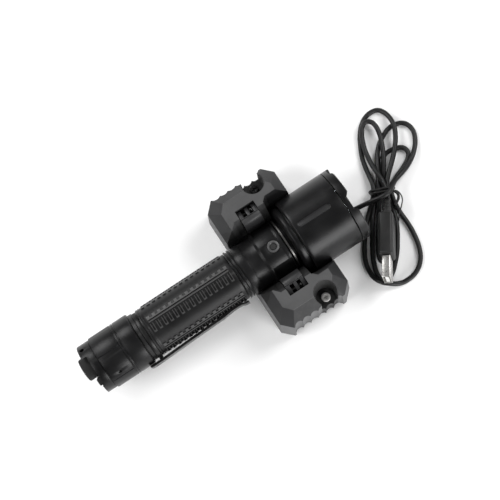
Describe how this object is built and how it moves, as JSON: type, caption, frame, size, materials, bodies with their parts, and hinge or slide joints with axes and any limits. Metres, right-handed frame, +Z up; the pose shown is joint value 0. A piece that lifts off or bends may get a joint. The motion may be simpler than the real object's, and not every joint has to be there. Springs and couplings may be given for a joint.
{
  "type": "rechargeable flashlight in charging cradle",
  "caption": "Black aluminium duty flashlight with pocket clip and notched bezel, held by the sprung jaws of a two-winged charging cradle with a bundled USB-A lead.",
  "frame": {"origin": "middle of the cradle's flat underside, on the standing surface", "axes": "+X along the flashlight towards its lens, +Y towards the left wing, +Z up away from the standing surface"},
  "size_m": [0.2159, 0.09, 0.0454],
  "materials": {
    "anodised": "black anodised, satin",
    "cradle_plastic": "moulded, fine matte texture",
    "black_rubber": "matte",
    "black_steel": "black coated spring steel, satin",
    "bright_steel": "plain",
    "nickel": "nickel plate",
    "gold": "gold plated",
    "spring_steel": "drawn wire",
    "lens_glass": "coated, clear",
    "reflector_mirror": "aluminised",
    "circuit_board": "green solder mask",
    "star_board": "metal-core board",
    "led_phosphor": "yellow phosphor",
    "cell_sleeve": "shrink sleeve",
    "switch_plastic": "moulded",
    "gasket_rubber": "smooth",
    "cord_vinyl": "satin vinyl",
    "tie_vinyl": "flat vinyl ribbon over wire",
    "insert_plastic": "moulded"
  },
  "bodies": {
    "cradle": {"cradle_body": "cradle_plastic", "base_plate": "cradle_plastic", "case_screw_left": "bright_steel", "case_screw_right": "bright_steel", "jaw_pin_left": "bright_steel", "jaw_pin_right": "bright_steel", "jaw_spring_left": "spring_steel", "jaw_spring_right": "spring_steel", "cradle_board": "circuit_board", "cord_gland": "black_rubber", "cord_lead": "cord_vinyl", "cord_hank": "cord_vinyl", "cord_tail": "cord_vinyl", "twist_tie": "tie_vinyl", "usb_strain_relief": "black_rubber", "usb_housing": "cord_vinyl", "usb_shell": "nickel", "usb_insert": "insert_plastic"},
    "torch": {"body_tube": "anodised", "neck_housing": "anodised", "head_shell": "anodised", "bezel_ring": "anodised", "lens": "lens_glass", "lens_gasket": "gasket_rubber", "reflector": "reflector_mirror", "led_board": "star_board", "led_emitter": "led_phosphor", "driver_board": "circuit_board", "head_spring": "gold", "head_o_ring": "gasket_rubber", "tail_o_ring": "gasket_rubber", "battery_cell": "cell_sleeve", "battery_cap": "nickel", "pocket_clip": "black_steel", "charge_contact_ring": "nickel", "side_switch_ring": "anodised"},
    "cap_carrier": {"tail_switch_module": "switch_plastic", "tail_retaining_ring": "anodised", "tail_spring": "spring_steel"},
    "tail_cap_body": {"tail_cap": "anodised"},
    "tail_button_body": {"tail_button": "black_rubber"},
    "mode_button_body": {"mode_button": "black_rubber"},
    "side_switch_body": {"side_switch_button": "black_rubber"},
    "jaw_left_body": {"jaw_left": "cradle_plastic"},
    "jaw_right_body": {"jaw_right": "cradle_plastic"},
    "pin_rear_body": {"charge_pin_rear": "gold"},
    "pin_front_body": {"charge_pin_front": "gold"}
  },
  "joints": [
    {"name": "torch_lift", "type": "slide", "parent": "cradle", "child": "torch", "axis": [0, 0, 1], "range_m": [0, 0.07]},
    {"name": "cap_travel", "type": "slide", "parent": "torch", "child": "cap_carrier", "axis": [-1, 0, 0], "range_m": [0, 0.004]},
    {"name": "cap_turn", "type": "hinge", "parent": "cap_carrier", "child": "tail_cap_body", "pos_m": [-0.1, 0, 0.025], "axis": [-1, 0, 0], "range_deg": [0, 1440.01]},
    {"name": "tail_press", "type": "slide", "parent": "tail_cap_body", "child": "tail_button_body", "axis": [1, 0, 0], "range_m": [0, 0.0015], "stiffness_N_per_m": 600},
    {"name": "mode_press", "type": "slide", "parent": "tail_cap_body", "child": "mode_button_body", "axis": [1, 0, 0], "range_m": [0, 0.0012], "stiffness_N_per_m": 500},
    {"name": "side_press", "type": "slide", "parent": "torch", "child": "side_switch_body", "axis": [0, 0, -1], "range_m": [0, 0.0006], "stiffness_N_per_m": 800},
    {"name": "jaw_left_swing", "type": "hinge", "parent": "cradle", "child": "jaw_left_body", "pos_m": [-0.003, 0.023, 0.034], "axis": [1, 0, 0], "range_deg": [0, 25], "stiffness_Nm_per_rad": 0.05, "springref_deg": -2.86},
    {"name": "jaw_right_swing", "type": "hinge", "parent": "cradle", "child": "jaw_right_body", "pos_m": [-0.003, -0.023, 0.034], "axis": [-1, 0, 0], "range_deg": [0, 25], "stiffness_Nm_per_rad": 0.05, "springref_deg": -2.86},
    {"name": "pin_rear_press", "type": "slide", "parent": "cradle", "child": "pin_rear_body", "axis": [0, 0, -1], "range_m": [0, 0.001], "stiffness_N_per_m": 400},
    {"name": "pin_front_press", "type": "slide", "parent": "cradle", "child": "pin_front_body", "axis": [0, 0, -1], "range_m": [0, 0.001], "stiffness_N_per_m": 400}
  ],
  "couplings": [
    {"joint": "cap_turn", "follows": "cap_travel", "rad_per_m": 6283.2}
  ]
}
